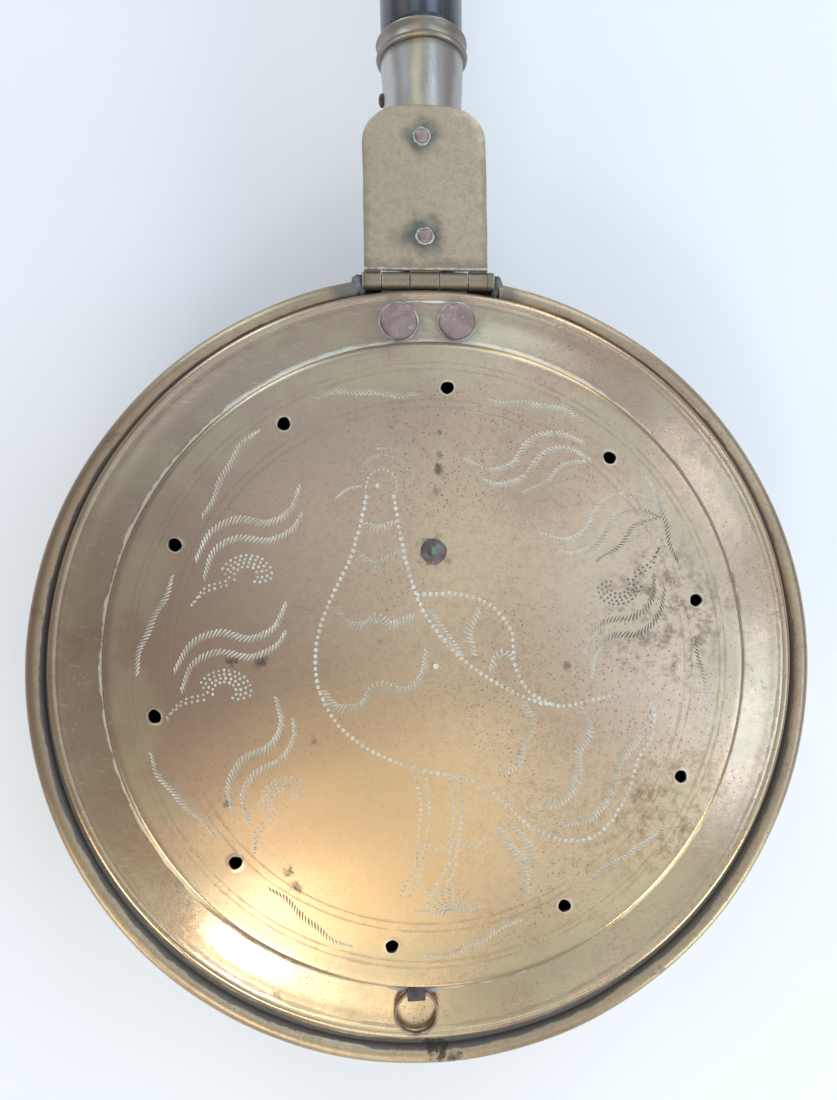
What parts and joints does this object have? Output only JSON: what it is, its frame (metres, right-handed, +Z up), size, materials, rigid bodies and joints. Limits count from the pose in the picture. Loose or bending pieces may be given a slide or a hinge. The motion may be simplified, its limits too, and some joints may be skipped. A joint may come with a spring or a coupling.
{
  "type": "bed warming pan",
  "caption": "Round covered pan for embers with a hinged, pierced, domed lid, a lift ring, a riveted hinge plate and socket, and a long turned handle with a hanging ring.",
  "frame": {"origin": "centre of the flat base underside of the pan", "axes": "+Z up; +Y from the pan centre along the handle; +X to the right when looking from the front of the pan towards the handle"},
  "size_m": [0.304, 1.0487, 0.1048],
  "materials": {
    "aged_brass": "satin sheet brass with brown and green age spots",
    "dark_brass": "dull, dark, unpolished brass",
    "copper": null,
    "iron": "dark wrought iron",
    "ebonised_wood": "turned wood with a blue-black polish"
  },
  "bodies": {
    "pan_body": {"pan": "aged_brass", "pan_rim_wire": "iron", "rim_end_caps": "dark_brass", "hinge_plate": "aged_brass", "hinge_pin": "iron", "plate_rivet_lower": "copper", "plate_rivet_upper": "copper", "wall_bracket": "dark_brass", "bracket_rivets": "copper", "socket": "aged_brass", "socket_collar": "aged_brass", "handle": "ebonised_wood", "handle_pin": "iron", "handle_eye": "iron"},
    "lid_body": {"lid": "aged_brass", "lid_rim_wire": "iron", "lid_hinge_leaf": "aged_brass", "lid_rivet_left": "copper", "lid_rivet_right": "copper", "lid_plug": "copper", "ring_staple": "dark_brass"},
    "lift_ring_body": {"lift_ring": "copper"},
    "hanging_ring_body": {"hanging_ring": "iron"}
  },
  "joints": [
    {"name": "lid_hinge", "type": "hinge", "parent": "pan_body", "child": "lid_body", "pos_m": [0.0012, 0.1492, 0.086], "axis": [-1, 0, 0], "range_deg": [0, 97]},
    {"name": "lift_ring_swing", "type": "hinge", "parent": "lid_body", "child": "lift_ring_body", "pos_m": [-0.0083, -0.1204, 0.092], "axis": [-1, 0, 0], "range_deg": [0, 100]},
    {"name": "hanging_ring_swing", "type": "hinge", "parent": "pan_body", "child": "hanging_ring_body", "pos_m": [0.0015, 0.889, 0.06965], "axis": [1, 0, 0], "range_deg": [-25, 75]}
  ]
}
